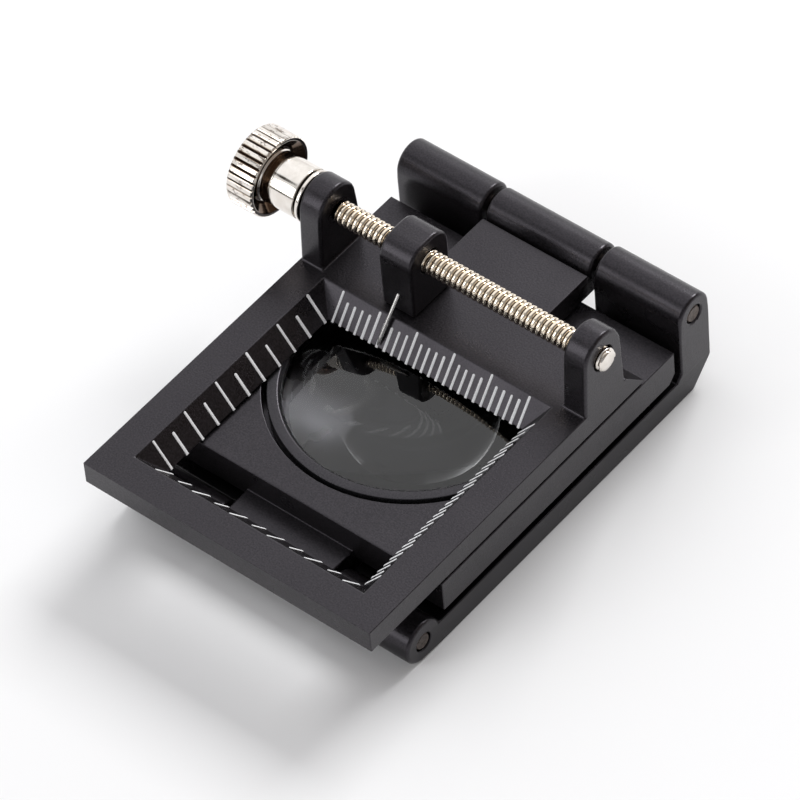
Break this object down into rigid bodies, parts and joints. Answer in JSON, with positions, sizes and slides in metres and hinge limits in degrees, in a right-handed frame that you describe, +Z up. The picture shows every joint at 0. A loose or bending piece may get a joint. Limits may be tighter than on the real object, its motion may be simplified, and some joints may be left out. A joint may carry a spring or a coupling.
{
  "type": "folding linen tester",
  "caption": "Folding linen tester: three hinged black plates with a windowed scale frame, a lens plate, and a knurled lead screw that drives a needle pointer.",
  "frame": {"origin": "on the arm's flat outer face, straight below the centre of the window", "axes": "+X along the hinge axes, away from the knob; +Y from the base's free front edge to the back hinge; +Z up, out of the scale side of the base"},
  "size_m": [0.0477, 0.0561, 0.0229],
  "materials": {
    "black_body": "satin black, fine grain",
    "black_ring": "satin black, turned",
    "lens_glass": "polished",
    "pin_steel": "dull, cut ends",
    "nickel_plate": "bright nickel plate, warm",
    "needle_steel": "bright drawn wire",
    "scale_white": "white paint in engraved lines"
  },
  "bodies": {
    "base": {"base_frame": "black_body"},
    "arm": {"arm_plate": "black_body", "base_hinge_pin": "pin_steel", "lens_hinge_pin": "pin_steel"},
    "lens_carrier": {"lens_plate": "black_body", "lens": "lens_glass", "lens_retaining_ring": "black_ring"},
    "screw": {"lead_screw": "nickel_plate", "thrust_washer": "nickel_plate", "knob_sleeve": "nickel_plate", "knob_head": "nickel_plate"},
    "pointer": {"carriage": "black_body", "needle": "needle_steel"}
  },
  "joints": [
    {"name": "arm_hinge", "type": "hinge", "parent": "base", "child": "arm", "pos_m": [0, 0.0345, 0.0113], "axis": [1, 0, 0], "range_deg": [0, 270]},
    {"name": "lens_hinge", "type": "hinge", "parent": "arm", "child": "lens_carrier", "pos_m": [0, -0.0113, 0.00265], "axis": [1, 0, 0], "range_deg": [-1, 0.4]},
    {"name": "screw_turn", "type": "hinge", "parent": "base", "child": "screw", "pos_m": [0, 0.0195, 0.01815], "axis": [1, 0, 0], "range_deg": [-9830, 3350]},
    {"name": "carriage_slide", "type": "slide", "parent": "base", "child": "pointer", "axis": [1, 0, 0], "range_m": [-0.0065, 0.0191]}
  ],
  "couplings": [
    {"joint": "screw_turn", "follows": "carriage_slide", "rad_per_m": -8976}
  ]
}
